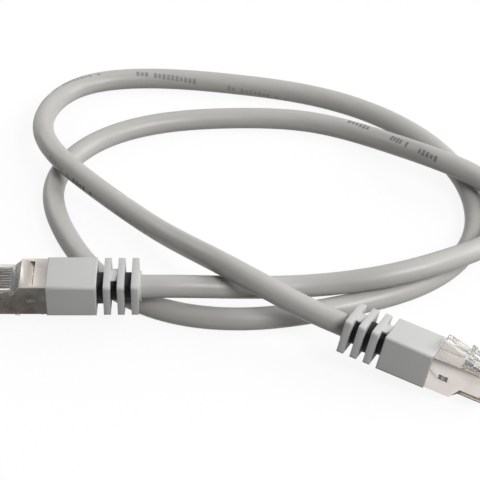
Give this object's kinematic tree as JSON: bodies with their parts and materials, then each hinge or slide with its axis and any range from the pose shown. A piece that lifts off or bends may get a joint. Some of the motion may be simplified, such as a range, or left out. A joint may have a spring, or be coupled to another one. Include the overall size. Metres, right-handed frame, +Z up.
{
  "type": "ethernet patch cable",
  "caption": "Round screened network patch cable lying in two loose turns, with a shielded modular plug, sprung latch and ribbed strain-relief boot at each end.",
  "frame": {"origin": "on the surface it lies on, under the centre of the box round the two plugs and boots (the free cord left out)", "axes": "+X from plug A toward plug B, +Y from the viewer toward the far turns of the cord, +Z up from the surface"},
  "size_m": [0.136, 0.1435, 0.0179],
  "materials": {
    "jacket": "satin light grey jacket",
    "boot": "matte light grey moulding",
    "inner_mould": "matte black moulding",
    "clear_plastic": "clear polycarbonate",
    "plated_steel": "nickel-plated stamping",
    "gold": "gold-plated contact blades",
    "foil": "bright foil",
    "tinned_wire": "tinned bare wire",
    "orange_insulation": "orange insulation",
    "green_insulation": "green insulation",
    "blue_insulation": "blue insulation",
    "brown_insulation": "brown insulation"
  },
  "bodies": {
    "cable": {"cord": "jacket", "boot_a": "boot", "inner_mould_a": "inner_mould", "jacket_end_a": "jacket", "screen_a": "foil", "drain_wire_a": "tinned_wire", "pair_orange_a": "orange_insulation", "pair_green_a": "green_insulation", "pair_blue_a": "blue_insulation", "pair_brown_a": "brown_insulation", "load_bar_a": "clear_plastic", "plug_body_a": "clear_plastic", "contacts_a": "gold", "shield_shell_a": "plated_steel", "boot_b": "boot", "inner_mould_b": "inner_mould", "jacket_end_b": "jacket", "screen_b": "foil", "drain_wire_b": "tinned_wire", "pair_orange_b": "orange_insulation", "pair_green_b": "green_insulation", "pair_blue_b": "blue_insulation", "pair_brown_b": "brown_insulation", "load_bar_b": "clear_plastic", "plug_body_b": "clear_plastic", "contacts_b": "gold", "shield_shell_b": "plated_steel"},
    "latch_a": {"latch_a": "clear_plastic"},
    "latch_b": {"latch_b": "clear_plastic"}
  },
  "joints": [
    {"name": "latch_a_press", "type": "hinge", "parent": "cable", "child": "latch_a", "pos_m": [-0.0615, 0.0146, 0.00658], "axis": [0, -1, 0], "range_deg": [0, 10], "stiffness_Nm_per_rad": 0.15},
    {"name": "latch_b_press", "type": "hinge", "parent": "cable", "child": "latch_b", "pos_m": [0.06027, -0.01411, 0.00835], "axis": [-0.3516, -0.8957, 0.2722], "range_deg": [0, 10], "stiffness_Nm_per_rad": 0.15}
  ]
}
